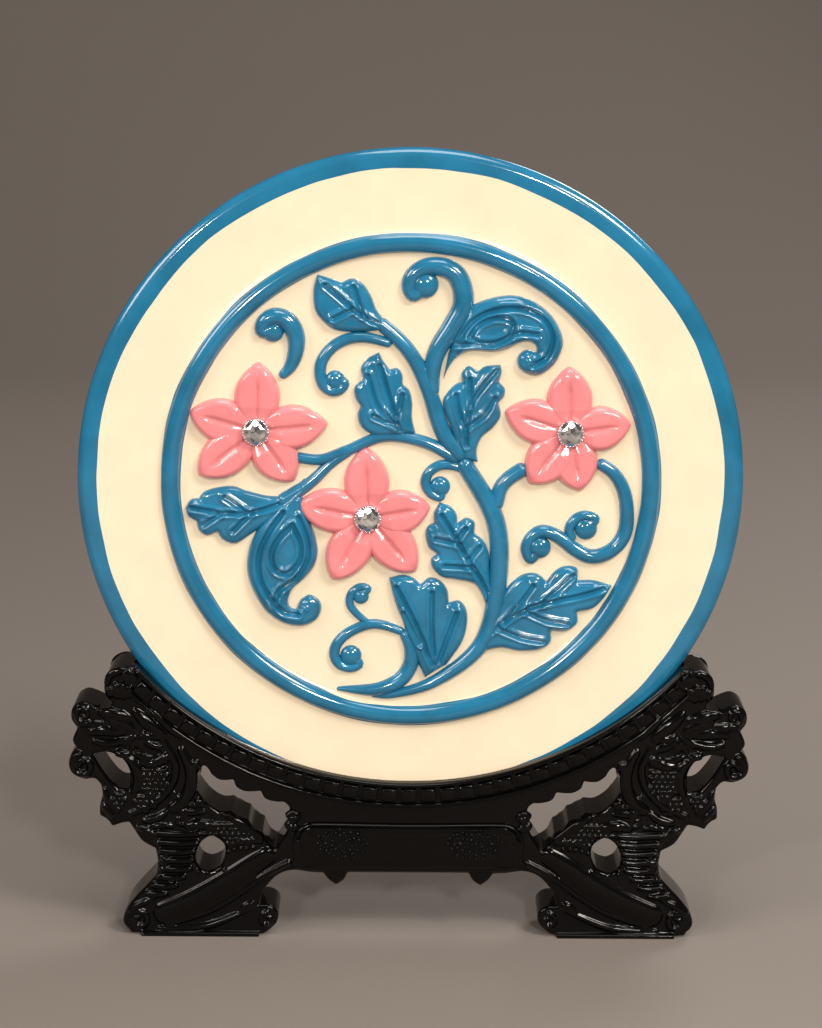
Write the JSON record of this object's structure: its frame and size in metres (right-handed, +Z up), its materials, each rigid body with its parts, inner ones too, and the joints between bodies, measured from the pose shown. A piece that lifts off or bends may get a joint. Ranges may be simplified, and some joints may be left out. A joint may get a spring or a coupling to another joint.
{
  "type": "decorative wall plate",
  "caption": "Round cast display plate with raised flowers, leaves and scrolls, set with faceted stones, standing in a carved dragon stand.",
  "frame": {"origin": "centre of the stand's footprint, on the surface that it stands on", "axes": "+Z up, the plate faces -Y, +X to the right as the plate is looked at"},
  "size_m": [0.2624, 0.024, 0.3049],
  "materials": {
    "plate_cream": "glossy enamel on cast resin",
    "crystal": "clear, foil backed",
    "stand_black": "high gloss moulded"
  },
  "bodies": {
    "root": {"plate": "plate_cream", "crystal_left": "crystal", "crystal_center": "crystal", "crystal_right": "crystal", "stand": "stand_black"}
  },
  "joints": []
}
